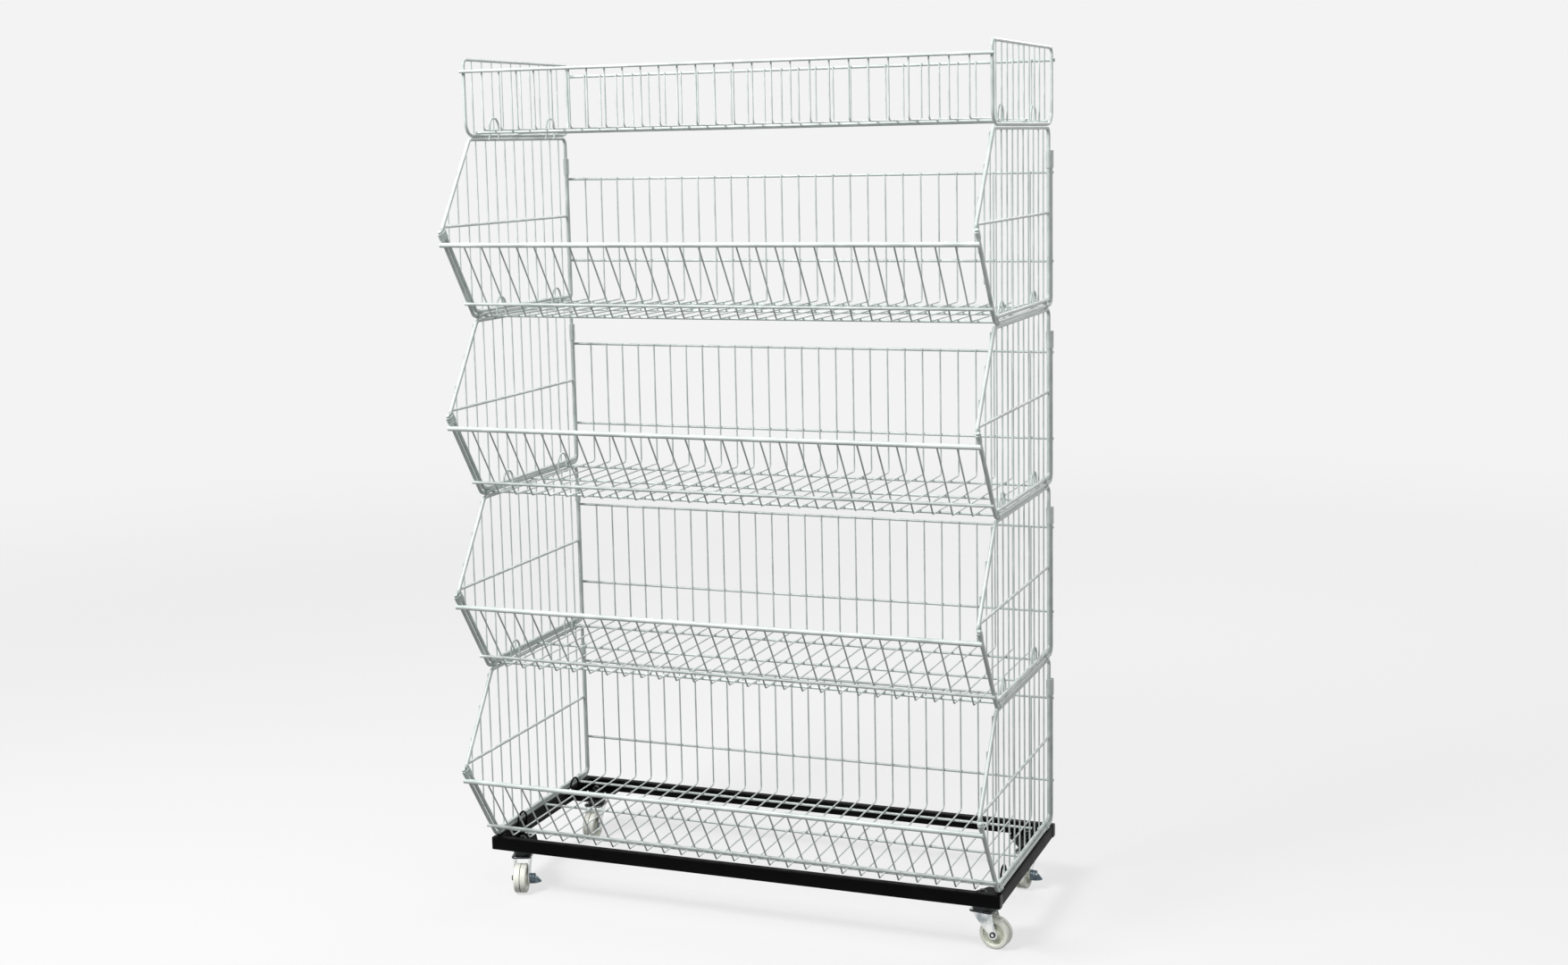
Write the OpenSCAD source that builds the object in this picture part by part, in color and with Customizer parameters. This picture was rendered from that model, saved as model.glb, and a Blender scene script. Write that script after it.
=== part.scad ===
// Wire grid display shelf: four stacked wire baskets with sloped fronts and one
// flat wire basket on top, on a black tube base with four swivel casters.
// Millimetres, +Z up, the front faces -Y, the floor is z = 0 and the base frame
// is centred on x = y = 0. Tier 1 is the highest sloped basket, tier 4 the lowest.

/* [Baskets] */
// distance between the left and right side rods of a tray, centre to centre
basket_width = 1000; // [800:10:1200]
// length of the straight top rail of a side panel, from the rear post forward
top_depth = 385; // [340:5:430]
// length of the bottom rail of a side panel
floor_depth = 386; // [340:2:430]
// how far the nose of a side panel stands in front of the rear post
nose_depth = 496; // [450:2:540]
// height of a side panel, bottom rail to top rail
panel_height = 317.5; // [300:2.5:360]
// height of the nose above the bottom rail of its side panel
nose_height = 159; // [130:1:190]
// height of the upper rear rail of a tray above its side rods
back_rail_height = 244; // [200:2:246]
// height of the lower rear rail of a tray above its side rods
back_mid_height = 80; // [50:2:120]

/* [Top basket] */
// height of the top basket, rail to rail
crown_height = 138; // [125:1:170]
// depth of the top basket, front post to rear post
crown_depth = 414; // [400:2:430]
// height of its front and rear rails above its bottom rails
crown_rail_height = 116; // [90:2:118]

/* [Rods and wires] */
// rod of the side panels and tray ends
frame_rod_d = 7; // [6:0.5:8]
// upper front rail of each sloped basket
front_rail_d = 9; // [8:0.5:10]
// lower front rail
lower_rail_d = 6; // [5:0.5:7]
// rods across the floor and the back
cross_rod_d = 5; // [4:0.5:6]
// thin filling wires
wire_d = 3; // [2.5:0.25:3.5]
// number of wires across the front, floor and back of a tray
wire_count = 27; // [19:2:33]
// number of upright wires in a side panel
side_wires = 13; // [11:1:15]
// number of upright wires in a side frame of the top basket
crown_wires = 10; // [8:1:12]
// rod of the locating loops
loop_rod_d = 4; // [3.5:0.25:4.5]
// rod of the top basket side frames
crown_rod_d = 6; // [5:0.5:7]

/* [Clips] */
// sheet thickness of knuckle clips, nose sleeves and rear wraps
clip_t = 1.5; // [1:0.1:1.8]
// length of each knuckle clip along the side rod
clip_length = 13; // [10:1:14]
// free height between the side rod of a tray and the side panel rod above it
rod_gap = 1.5; // [1.5:0.1:2]

/* [Base frame] */
// height of the base tube
tube_height = 25; // [20:1:30]
// width of the base tube
tube_width = 15.5; // [15:0.5:20]
// wall of the base tube
tube_wall = 1.5; // [1:0.25:2.5]
// thickness of the corner plates
plate_t = 4; // [3:0.5:5]
// height of the loops above the base tube
base_loop_height = 25; // [20:1:30]

/* [Casters] */
// wheel diameter
wheel_d = 56; // [50:1:60]
// wheel width
wheel_w = 24; // [18:1:25]
// height of the base tube above the floor
caster_height = 86; // [86:1:100]
// horizontal distance from the stem to the axle
caster_trail = 26; // [22:1:30]
// distance of each stem from the outer faces of the base
stem_inset = 43; // [40:1:48]
// trail direction of the front left caster, degrees from +X
swivel_front_left = -72; // [-180:1:180]
// trail direction of the front right caster
swivel_front_right = -9; // [-180:1:180]
// trail direction of the rear left caster
swivel_rear_left = -86; // [-180:1:180]
// trail direction of the rear right caster
swivel_rear_right = -95; // [-180:1:180]

/* [Fits] */
// radial play of wheels, swivels, levers and clips on their pins
fit = 0.05; // [0.02:0.01:0.09]
// free height between stacked baskets
stack_gap = 0.3; // [0.3:0.05:0.6]
// depth by which welded rods sink into each other
weld = 0.15; // [0.15:0.05:0.3]

/* [Part selection] */
// which part to draw

/* [Hidden] */
$fn = 32;

// radii of rods and wires
fr = frame_rod_d / 2;
rr = front_rail_d / 2;
lr = lower_rail_d / 2;
cr = cross_rod_d / 2;
wr = wire_d / 2;
pr = loop_rod_d / 2;
kr = crown_rod_d / 2;
// touching depth between pieces that are separate parts
touch = 0.15;

// tray side rods stand a little outboard of the side panel rods
tray_x = basket_width / 2;
panel_x = tray_x - 2.5;
loop_x = panel_x - 9;
pair = frame_rod_d + rod_gap;
clip_r = fr + fit + clip_t;

// side view of a basket in [y, z]: y = 0 is the rear post, z = 0 the tray side rod
nose = [-nose_depth, pair + nose_height];
panel_pts = [[-floor_depth, pair], nose, [-top_depth, pair + panel_height],
  [0, pair + panel_height], [0, pair]];
panel_bends = [10, 6, 12, 14, 10];
// upright wires run from 21 mm in front of the rear post to 31 mm behind the nose
side_first = 21;
side_pitch = (nose_depth - side_first - 31) / (side_wires - 1);
// the rod across a side panel passes just above the nose sleeve
side_rod_z = nose[1] + 2.4;
// locating loops and knuckle clips, by depth in front of the rear post
loop_ys = [-79, 80 - floor_depth];
clip_ys = [-31, 13 - floor_depth];
leg_run = nose - panel_pts[0];
leg_dir = leg_run / norm(leg_run);
leg_out = [-leg_dir[1], leg_dir[0]];
// a point s below the nose along the sloped leg and d in front of it
function leg_at(s, d) = nose - leg_dir * s + leg_out * d;
// the line d in front of the sloped leg meets the height z at this y
function leg_y(z, d) = leg_at(0, d)[0] + (z - leg_at(0, d)[1]) * leg_dir[0] / leg_dir[1];

sleeve_top = 4.3;
sleeve_len = 15.7;
front_rail_s = sleeve_top + sleeve_len + rr + 0.4;
front_rail_yz = leg_at(front_rail_s, pair + fr + rr - touch);
lower_rail_z = 25;
lower_rail_y = leg_y(lower_rail_z, pair + fr + lr - touch);
tray_corner_y = leg_y(0, pair);

// wires lie behind the front rails and on the floor rods
front_wire_d = pair + fr - touch - wr + weld;
floor_rod_z = -1.5;
floor_wire_z = floor_rod_z + cr + wr - weld;
back_rail_y = pair + fr + cr - touch;
back_wire_y = back_rail_y - cr - wr + weld;
front_wire_top = leg_at(front_rail_s - 0.6, front_wire_d);
front_wire_corner = [leg_y(floor_wire_z, front_wire_d), floor_wire_z];
floor_start_y = front_wire_corner[0] + 6;
floor_end_y = back_wire_y - 11;
floor_rod_ys = [31 - floor_depth, -11 / 2 - floor_depth / 2, -42];

// stacking heights
clip_offset = sqrt(pow(clip_r + fr + stack_gap, 2) - pow(tray_x - panel_x, 2));
tier_step = pair + panel_height + clip_offset;
tube_top = caster_height + tube_height;
tier4_z = tube_top + clip_r + stack_gap;
crown_x = panel_x + 1;
crown_z = tier4_z + 3 * tier_step + pair + panel_height
  + sqrt(pow(kr + fr + stack_gap, 2) - 1);
crown_front_y = 19.7 - crown_depth;
crown_rear_y = 19.7;
base_depth = floor_depth + 24;
post_y = base_depth / 2 - 13;
base_width = basket_width + 11;
wire_span = basket_width - 80;
wire_pitch = wire_span / (wire_count - 1);
rail_half = tray_x + fr;
stem_x = base_width / 2 - stem_inset;
stem_y = base_depth / 2 - stem_inset;

// caster heights and widths
plate_z = caster_height;
race_z = plate_z - 4.5;
fork_top_z = race_z - 0.4;
fork_plate_z = caster_height - 20;
fork_plate_t = 4;
stem_r = 5;
axle_r = 4;
hub_w = wheel_w + 2;
cheek_in = hub_w / 2 + 0.3;
cheek_t = 2.5;
cheek_out = cheek_in + cheek_t;
lever_w = 11;
wheel_r = wheel_d / 2;
wheel_z = wheel_r;
boss_r = 8.5;

// colours
wire_white = [0.86, 0.87, 0.87];
zinc = [0.72, 0.74, 0.76];
black_coat = [0.05, 0.05, 0.05];
nylon = [0.90, 0.88, 0.80];
lever_blue = [0.25, 0.31, 0.36];

function direction(a, b) = (b - a) / norm(b - a);
function cross2(a, b) = a[0] * b[1] - a[1] * b[0];
function turn(a, b, c) = acos(min(1, max(-1, direction(a, b) * direction(b, c))));
function tangent(a, b, c, r) = r * tan(turn(a, b, c) / 2);
// the height of the side panel outline below and above at depth y
function along(a, b, y) = a[1] + (b[1] - a[1]) * (y - a[0]) / (b[0] - a[0]);
function outline_low(y) = y > -floor_depth ? pair : along(panel_pts[0], nose, y);
function outline_high(y) = y > -top_depth ? pair + panel_height : along(nose, panel_pts[2], y);

// turns a drawing in local x, y into world y, z at the given x
module in_yz(x) {
  translate([x, 0, 0])
    rotate([90, 0, 90])
      children();
}

// draws on the right and, mirrored, on the left
module both_sides() {
  children();
  mirror([1, 0, 0])
    children();
}

// draws at the rear and, mirrored, at the front
module both_ends() {
  children();
  mirror([0, 1, 0])
    children();
}

// a straight round rod between two points of the local plane
module rod(a, b, r) {
  d = b - a;
  translate([a[0], a[1], 0])
    rotate([0, 0, atan2(d[1], d[0])])
      rotate([0, 90, 0])
        cylinder(h = norm(d), r = r);
}

// part of a ring from angle a0 to a1; its ends sink a little into the straight rods
module arc(br, r, a0, a1) {
  e = 0.3 / br * 180 / PI;
  rotate([0, 0, a0 - e])
    rotate_extrude(angle = a1 - a0 + 2 * e)
      translate([br, 0])
        circle(r = r - 0.02);
}

// the bend of a rod round the corner b with centre line radius br
module bend(a, b, c, br, r) {
  d1 = direction(a, b);
  left = cross2(d1, direction(b, c)) > 0;
  t = tangent(a, b, c, br);
  n = [-d1[1], d1[0]] * (left ? 1 : -1);
  centre = b - d1 * t + n * br;
  from = atan2(-n[1], -n[0]);
  sweep = turn(a, b, c);
  translate([centre[0], centre[1], 0])
    arc(br, r, left ? from : from - sweep, left ? from + sweep : from);
}

// an open bent rod through the points, with one bend radius per inner point
module open_rod(pts, br, r) {
  n = len(pts);
  for (i = [0 : n - 2]) {
    d = direction(pts[i], pts[i + 1]);
    ta = i == 0 ? 0 : tangent(pts[i - 1], pts[i], pts[i + 1], br[i]);
    tb = i == n - 2 ? 0 : tangent(pts[i], pts[i + 1], pts[i + 2], br[i + 1]);
    rod(pts[i] + d * ta, pts[i + 1] - d * tb, r);
  }
  for (i = [1 : n - 2])
    bend(pts[i - 1], pts[i], pts[i + 1], br[i], r);
}

// a closed bent rod through the points
module closed_rod(pts, br, r) {
  n = len(pts);
  for (i = [0 : n - 1]) {
    a = pts[(i + n - 1) % n];
    b = pts[i];
    c = pts[(i + 1) % n];
    e = pts[(i + 2) % n];
    d = direction(b, c);
    rod(b + d * tangent(a, b, c, br[i]), c - d * tangent(b, c, e, br[(i + 1) % n]), r);
    bend(a, b, c, br[i], r);
  }
}

// a rod along x, centred
module x_rod(half, r) {
  translate([-half, 0, 0])
    rotate([0, 90, 0])
      cylinder(h = 2 * half, r = r);
}

// an upright inverted U in the local plane, standing on y = 0
module loop(height, r) {
  w = 17;
  for (s = [-1, 1])
    translate([s * w, 0, 0])
      rotate([-90, 0, 0])
        cylinder(h = height - w - r, r = r);
  translate([0, height - w - r, 0])
    arc(w, r, 0, 180);
}

// repeats along x for every thin wire of a tray
module each_wire() {
  for (i = [0 : wire_count - 1])
    in_yz(-wire_span / 2 + i * wire_pitch)
      children();
}

// places a tier; tier 4 is the lowest
module tier(t) {
  translate([0, post_y, tier4_z + (4 - t) * tier_step])
    children();
}

module front_grid() {
  color(wire_white) {
    translate([0, front_rail_yz[0], front_rail_yz[1]])
      x_rod(rail_half, rr);
    translate([0, lower_rail_y, lower_rail_z])
      x_rod(rail_half, lr);
    each_wire()
      open_rod([front_wire_top, front_wire_corner, [floor_start_y, floor_wire_z]],
        [0, 4, 0], wr);
  }
}

module floor_grid() {
  color(wire_white) {
    each_wire()
      rod([floor_start_y, floor_wire_z], [floor_end_y, floor_wire_z], wr);
    for (y = floor_rod_ys)
      translate([0, y, floor_rod_z])
        x_rod(tray_x - fr + touch, cr);
  }
}

module back_grid() {
  color(wire_white) {
    each_wire()
      open_rod([[floor_end_y, floor_wire_z], [back_wire_y, floor_wire_z],
        [back_wire_y, back_rail_height + cr - 0.5]], [0, 8, 0], wr);
    for (z = [back_mid_height, back_rail_height])
      translate([0, back_rail_y, z])
        x_rod(rail_half, cr);
  }
}

// the bent rod at each end of a tray
module tray_ends() {
  color(wire_white)
    both_sides()
      in_yz(tray_x)
        open_rod([leg_at(0, pair), [tray_corner_y, 0], [pair, 0], [pair, pair + back_rail_height + 26]],
          [0, 16, 16, 0], fr);
}

// side panel; the upright wires lie on its -X side at both ends of the basket
module side_panel(side) {
  color(wire_white) {
    in_yz(side * panel_x) {
      closed_rod(panel_pts, panel_bends, fr);
      translate([0, 0, weld - fr - wr])
        for (k = [0 : side_wires - 1]) {
          y = -side_first - side_pitch * k;
          rod([y, outline_low(y) - 1.5], [y, outline_high(y) + 1.5], wr);
        }
      translate([0, 0, cr - fr])
        rod([3.5 - nose_depth, side_rod_z], [-1.5, side_rod_z], cr);
    }
    for (y = loop_ys)
      translate([side * loop_x, y, pair + panel_height]) {
        translate([0, 0, -1])
          rotate([90, 0, 90])
            loop(42, pr);
        for (s = [-17, 17])
          translate([0, s, 0])
            rotate([0, side * 90, 0])
              cylinder(h = 9 - fr + weld, r = pr - 0.2);
      }
  }
}

module stadium(gap, r, length) {
  cylinder(h = length, r = r);
  translate([0, gap, 0])
    cylinder(h = length, r = r);
  translate([-r, 0, 0])
    cube([2 * r, gap, length]);
}

// sheet wrap round two rods that lie dx apart along x and d apart along y
module wrap(dx, d, length) {
  gap = sqrt(dx * dx + d * d);
  rotate([0, 0, -atan2(dx, d)])
    difference() {
      stadium(gap, clip_r, length);
      translate([0, 0, -1])
        stadium(gap, clip_r - clip_t, length + 2);
    }
}

// rings round the tray side rod and the panel bottom rail
module knuckle_clips() {
  dx = tray_x - panel_x;
  color(wire_white)
    both_sides()
      for (y = clip_ys)
        translate([tray_x, y + clip_length / 2, 0])
          rotate([90, 0, 0])
            difference() {
              union() {
                cylinder(h = clip_length, r = clip_r);
                translate([-dx, pair, 0])
                  cylinder(h = clip_length, r = clip_r);
              }
              translate([0, 0, -1])
                cylinder(h = clip_length + 2, r = fr + fit);
              translate([-dx, pair, -1])
                cylinder(h = clip_length + 2, r = fr + fit);
            }
}

// sheet wraps at the nose and round the rear posts
module lock_sleeves() {
  dx = tray_x - panel_x;
  foot = leg_at(sleeve_top + sleeve_len, 0);
  color(wire_white)
    both_sides() {
      translate([panel_x, foot[0], foot[1]])
        rotate([atan2(-leg_dir[0], leg_dir[1]), 0, 0])
          mirror([0, 1, 0])
            wrap(dx, pair, sleeve_len);
      translate([panel_x, 0, pair + back_rail_height])
        wrap(dx, pair, 32);
    }
}

module on_top() {
  translate([0, post_y, crown_z])
    children();
}

crown_rod_z = kr + cr - touch;
crown_wire_z = crown_rod_z + cr + wr - weld;
crown_rail_out = kr + lr - touch;
crown_front_rail_y = crown_front_y - crown_rail_out;
crown_rear_rail_y = crown_rear_y + crown_rail_out;
crown_front_wire_y = crown_front_rail_y + lr + wr - weld;
crown_rear_wire_y = crown_rear_rail_y - lr - wr + weld;
crown_first = 37;
crown_pitch = (crown_depth - 2 * crown_first) / (crown_wires - 1);

module top_front_grid() {
  color(wire_white) {
    translate([0, crown_front_rail_y, crown_rail_height])
      x_rod(rail_half, lr);
    each_wire()
      open_rod([[crown_front_wire_y, crown_rail_height + lr - 0.5],
        [crown_front_wire_y, crown_wire_z], [crown_front_y + 9, crown_wire_z]], [0, 8, 0], wr);
  }
}

module top_floor_grid() {
  color(wire_white) {
    each_wire()
      rod([crown_front_y + 9, crown_wire_z], [crown_rear_y - 9, crown_wire_z], wr);
    for (y = [44, crown_depth / 2, crown_depth - 44])
      translate([0, crown_front_y + y, crown_rod_z])
        x_rod(rail_half - 2, cr);
  }
}

module top_back_grid() {
  color(wire_white) {
    translate([0, crown_rear_rail_y, crown_rail_height])
      x_rod(rail_half, lr);
    each_wire()
      open_rod([[crown_rear_y - 9, crown_wire_z], [crown_rear_wire_y, crown_wire_z],
        [crown_rear_wire_y, crown_rail_height + lr - 0.5]], [0, 8, 0], wr);
  }
}

module top_side(side) {
  color(wire_white)
    in_yz(side * crown_x) {
      closed_rod([[crown_front_y, 0], [crown_front_y, crown_height],
        [crown_rear_y, crown_height], [crown_rear_y, 0]], [25, 12, 12, 25], kr);
      translate([0, 0, weld - kr - wr])
        for (k = [0 : crown_wires - 1]) {
          y = crown_front_y + crown_first + crown_pitch * k;
          rod([y, -1], [y, crown_height + 1], wr);
        }
    }
}

// profile of the base tube with small chamfers, centred
module tube_profile(w, h, c) {
  polygon([[-w / 2 + c, -h / 2], [w / 2 - c, -h / 2], [w / 2, -h / 2 + c], [w / 2, h / 2 - c],
    [w / 2 - c, h / 2], [-w / 2 + c, h / 2], [-w / 2, h / 2 - c], [-w / 2, -h / 2 + c]]);
}

// a length of hollow tube along local z
module tube(length) {
  linear_extrude(height = length)
    difference() {
      tube_profile(tube_width, tube_height, 1.5);
      tube_profile(tube_width - 2 * tube_wall, tube_height - 2 * tube_wall, 0.6);
    }
}

tube_mid_z = caster_height + tube_height / 2;

module base_long_rails() {
  color(black_coat)
    for (s = [-1, 1])
      translate([-base_width / 2, s * (base_depth - tube_width) / 2, tube_mid_z])
        rotate([90, 0, 90])
          tube(base_width);
}

module base_end_rails() {
  inner = base_depth - 2 * tube_width;
  color(black_coat)
    for (s = [-1, 1])
      translate([s * (base_width - tube_width) / 2, inner / 2, tube_mid_z])
        rotate([90, 0, 0])
          tube(inner);
}

// plugs in the open ends of the long tubes
module tube_caps() {
  w = tube_width - 2 * tube_wall - 0.2;
  h = tube_height - 2 * tube_wall - 0.2;
  color(black_coat)
    both_sides()
      both_ends()
        translate([base_width / 2 - 12, (base_depth - tube_width) / 2, tube_mid_z])
          rotate([90, 0, 90]) {
            linear_extrude(height = 12.5)
              tube_profile(w, h, 0.8);
            translate([0, 0, 12])
              linear_extrude(height = 1.5)
                tube_profile(tube_width - 0.4, tube_height - 0.4, 1.8);
          }
}

// plates between the tubes at the four corners
module corner_plates() {
  color(black_coat)
    both_sides()
      both_ends()
        difference() {
          translate([base_width / 2 - tube_width, base_depth / 2 - tube_width, plate_z])
            linear_extrude(height = plate_t)
              polygon([[0, 0], [-64.5, 0], [-64.5, -24.5], [-29.5, -79.5], [0, -79.5]]);
          translate([stem_x, stem_y, plate_z - 1])
            cylinder(h = plate_t + 2, r = stem_r + fit);
        }
}

module base_loops() {
  leg = 12;
  color(black_coat)
    both_sides()
      for (y = loop_ys)
        translate([base_width / 2 - tube_width - pr + 0.05, post_y + y, tube_top - leg])
          rotate([90, 0, 90])
            loop(base_loop_height + leg, pr);
}

// stem bolts with the nut and washer on top and the race under the plate
module caster_stems() {
  race_h = plate_z - race_z;
  color(zinc)
    for (sx = [-1, 1])
      for (sy = [-1, 1])
        translate([sx * stem_x, sy * stem_y, 0]) {
          translate([0, 0, fork_plate_z - 2.6])
            cylinder(h = plate_z + plate_t + 16.6 - fork_plate_z, r = stem_r);
          translate([0, 0, fork_plate_z - 4.4])
            cylinder(h = 4, r = 8);
          translate([0, 0, race_z])
            rotate_extrude()
              polygon([[0, 0], [20.5, 0], [22, 1.2], [22, 3.3], [20.5, race_h], [0, race_h]]);
          translate([0, 0, plate_z + plate_t])
            cylinder(h = 2, r = 10);
          translate([0, 0, plate_z + plate_t + 2])
            cylinder(h = 8, r = 9, $fn = 6);
        }
}

// a caster in its own frame: stem on the z axis, trail along +x
module caster(sx, sy, angle) {
  translate([sx * stem_x, sy * stem_y, 0])
    rotate([0, 0, angle])
      children();
}

// point where a line from p touches the axle boss
function boss_angle(v, s) = atan2(v[1], v[0]) + s * acos((boss_r - 0.1) / norm(v));
function boss_point(a) = [caster_trail + (boss_r - 0.1) * cos(a),
  wheel_z + (boss_r - 0.1) * sin(a)];
function boss_tangent(p, s) = boss_point(boss_angle(p - [caster_trail, wheel_z], s));

module cheek_profile() {
  p = [-16.5, fork_plate_z];
  q = [22.5, fork_plate_z];
  difference() {
    union() {
      polygon([p + [0, 2], p, boss_tangent(p, 1), [caster_trail, wheel_z],
        boss_tangent(q, -1), q, q + [0, 2]]);
      translate([caster_trail, wheel_z])
        circle(r = boss_r);
    }
    translate([caster_trail, wheel_z])
      circle(r = axle_r + fit);
  }
}

// corner points of a rounded rectangle
function rounded(x0, x1, h, r) = [
  for (q = [0 : 3])
    for (a = [0 : 30 : 90])
      [(q == 0 || q == 3 ? x1 - r : x0 + r) + r * cos(q * 90 + a),
        (q < 2 ? h - r : r - h) + r * sin(q * 90 + a)]];

module fork() {
  cup = fork_top_z - fork_plate_z - fork_plate_t;
  color(zinc)
    difference() {
      union() {
        for (s = [-1, 1])
          translate([0, s * (cheek_in + cheek_out) / 2 + cheek_t / 2, 0])
            rotate([90, 0, 0])
              linear_extrude(height = cheek_t)
                cheek_profile();
        translate([0, 0, fork_plate_z])
          linear_extrude(height = fork_plate_t)
            polygon(rounded(-20, 27, 19.5, 8));
        translate([0, 0, fork_plate_z + fork_plate_t])
          rotate_extrude()
            polygon([[0, -0.5], [18.5, -0.5], [18.5, 4], [17, cup], [0, cup]]);
      }
      translate([0, 0, fork_plate_z - 1])
        cylinder(h = fork_top_z - fork_plate_z + 2, r = stem_r + fit);
    }
}

// axle bolt with its ring head, and a nut or the lever's end ring
module axle(braked) {
  end = braked ? cheek_out + lever_w + 0.6 : cheek_out;
  color(zinc)
    translate([caster_trail, 0, wheel_z])
      rotate([-90, 0, 0]) {
        translate([0, 0, -cheek_out])
          cylinder(h = cheek_out + end + 1, r = axle_r);
        difference() {
          translate([0, 0, -cheek_out - 3])
            cylinder(h = 3, r = 5.2);
          translate([0, 0, -cheek_out - 4])
            cylinder(h = 2.5, r = 3);
        }
        translate([0, 0, end])
          cylinder(h = braked ? 1.8 : 4, r = braked ? 4.8 : 7, $fn = braked ? 32 : 6);
      }
}

module wheel() {
  h = wheel_w / 2;
  r = wheel_r;
  color(nylon)
    translate([caster_trail, 0, wheel_z])
      rotate([90, 0, 0])
        rotate_extrude()
          polygon([[axle_r + fit, -h - 1], [9, -h - 1], [9.8, -h + 3], [r - 8.5, -h + 3],
            [r - 7, -h], [r - 2.6, -h], [r - 0.8, -h + 0.8], [r, -h + 2.6], [r, -0.5],
            [r - 0.4, 0], [r, 0.5], [r, h - 2.6], [r - 0.8, h - 0.8], [r - 2.6, h],
            [r - 7, h], [r - 8.5, h - 3], [9.8, h - 3], [9, h + 1], [axle_r + fit, h + 1]]);
}

// pressed brake lever round the axle end with its pointed wing
module brake_lever() {
  color(lever_blue)
    translate([caster_trail, cheek_out + 0.3, wheel_z])
      difference() {
        union() {
          rotate([-90, 0, 0])
            cylinder(h = lever_w, r = 9.5);
          translate([0, 0, -8])
            linear_extrude(height = 2.6)
              polygon([[-8.5, 1], [8.5, 1], [8.5, 11], [3, 17], [-1, 22], [-4, 21],
                [-8.5, 12.5]]);
        }
        translate([0, -1, 0])
          rotate([-90, 0, 0])
            cylinder(h = lever_w + 2, r = axle_r + fit);
      }
}

base_long_rails();
base_end_rails();
tube_caps();
corner_plates();
base_loops();
caster_stems();
caster(-1, -1, swivel_front_left) fork();  // fork_fl
caster(1, -1, swivel_front_right) fork();  // fork_fr
caster(-1, 1, swivel_rear_left) fork();  // fork_rl
caster(1, 1, swivel_rear_right) fork();  // fork_rr
caster(-1, -1, swivel_front_left) axle(true);  // axle_fl
caster(1, -1, swivel_front_right) axle(false);  // axle_fr
caster(-1, 1, swivel_rear_left) axle(false);  // axle_rl
caster(1, 1, swivel_rear_right) axle(true);  // axle_rr
caster(-1, -1, swivel_front_left) wheel();  // wheel_fl
caster(1, -1, swivel_front_right) wheel();  // wheel_fr
caster(-1, 1, swivel_rear_left) wheel();  // wheel_rl
caster(1, 1, swivel_rear_right) wheel();  // wheel_rr
caster(-1, -1, swivel_front_left) brake_lever();  // brake_fl
caster(1, 1, swivel_rear_right) brake_lever();  // brake_rr
tier(4) front_grid();  // tier4_front_grid
tier(4) floor_grid();  // tier4_floor_grid
tier(4) back_grid();  // tier4_back_grid
tier(4) tray_ends();  // tier4_tray_ends
tier(4) side_panel(-1);  // tier4_side_left
tier(4) side_panel(1);  // tier4_side_right
tier(4) knuckle_clips();  // tier4_knuckle_clips
tier(4) lock_sleeves();  // tier4_lock_sleeves
tier(3) front_grid();  // tier3_front_grid
tier(3) floor_grid();  // tier3_floor_grid
tier(3) back_grid();  // tier3_back_grid
tier(3) tray_ends();  // tier3_tray_ends
tier(3) side_panel(-1);  // tier3_side_left
tier(3) side_panel(1);  // tier3_side_right
tier(3) knuckle_clips();  // tier3_knuckle_clips
tier(3) lock_sleeves();  // tier3_lock_sleeves
tier(2) front_grid();  // tier2_front_grid
tier(2) floor_grid();  // tier2_floor_grid
tier(2) back_grid();  // tier2_back_grid
tier(2) tray_ends();  // tier2_tray_ends
tier(2) side_panel(-1);  // tier2_side_left
tier(2) side_panel(1);  // tier2_side_right
tier(2) knuckle_clips();  // tier2_knuckle_clips
tier(2) lock_sleeves();  // tier2_lock_sleeves
tier(1) front_grid();  // tier1_front_grid
tier(1) floor_grid();  // tier1_floor_grid
tier(1) back_grid();  // tier1_back_grid
tier(1) tray_ends();  // tier1_tray_ends
tier(1) side_panel(-1);  // tier1_side_left
tier(1) side_panel(1);  // tier1_side_right
tier(1) knuckle_clips();  // tier1_knuckle_clips
tier(1) lock_sleeves();  // tier1_lock_sleeves
on_top() top_front_grid();
on_top() top_floor_grid();
on_top() top_back_grid();
on_top() top_side(-1);  // top_side_left
on_top() top_side(1);  // top_side_right
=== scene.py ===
import math
import bmesh
import bpy
from mathutils import Matrix, Vector


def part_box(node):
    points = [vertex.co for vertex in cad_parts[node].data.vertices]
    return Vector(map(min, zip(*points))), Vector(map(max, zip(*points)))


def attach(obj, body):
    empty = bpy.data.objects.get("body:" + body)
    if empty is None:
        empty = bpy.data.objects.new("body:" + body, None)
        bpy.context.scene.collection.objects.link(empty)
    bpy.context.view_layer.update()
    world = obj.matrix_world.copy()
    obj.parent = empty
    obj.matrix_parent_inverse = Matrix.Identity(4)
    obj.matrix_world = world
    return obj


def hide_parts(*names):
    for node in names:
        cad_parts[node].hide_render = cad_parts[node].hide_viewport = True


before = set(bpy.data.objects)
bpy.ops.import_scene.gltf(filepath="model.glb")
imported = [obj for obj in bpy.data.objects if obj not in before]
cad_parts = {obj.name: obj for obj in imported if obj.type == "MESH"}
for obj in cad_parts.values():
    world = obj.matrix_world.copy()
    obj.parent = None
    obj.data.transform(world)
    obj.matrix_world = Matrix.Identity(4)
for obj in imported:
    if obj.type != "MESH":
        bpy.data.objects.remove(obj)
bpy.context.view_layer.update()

# Base tubes: two long and two short lengths of rectangular steel tube, 25 mm high, welded to
# a frame and coated satin black. The long tubes run through, the short ones butt against them.


def hex_colour(text):
    """An sRGB hex colour as linear red, green, blue and alpha."""
    parts = [int(text[i:i + 2], 16) / 255 for i in (1, 3, 5)]
    return [c / 12.92 if c <= 0.04045 else ((c + 0.055) / 1.055) ** 2.4 for c in parts] + [1.0]


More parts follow.
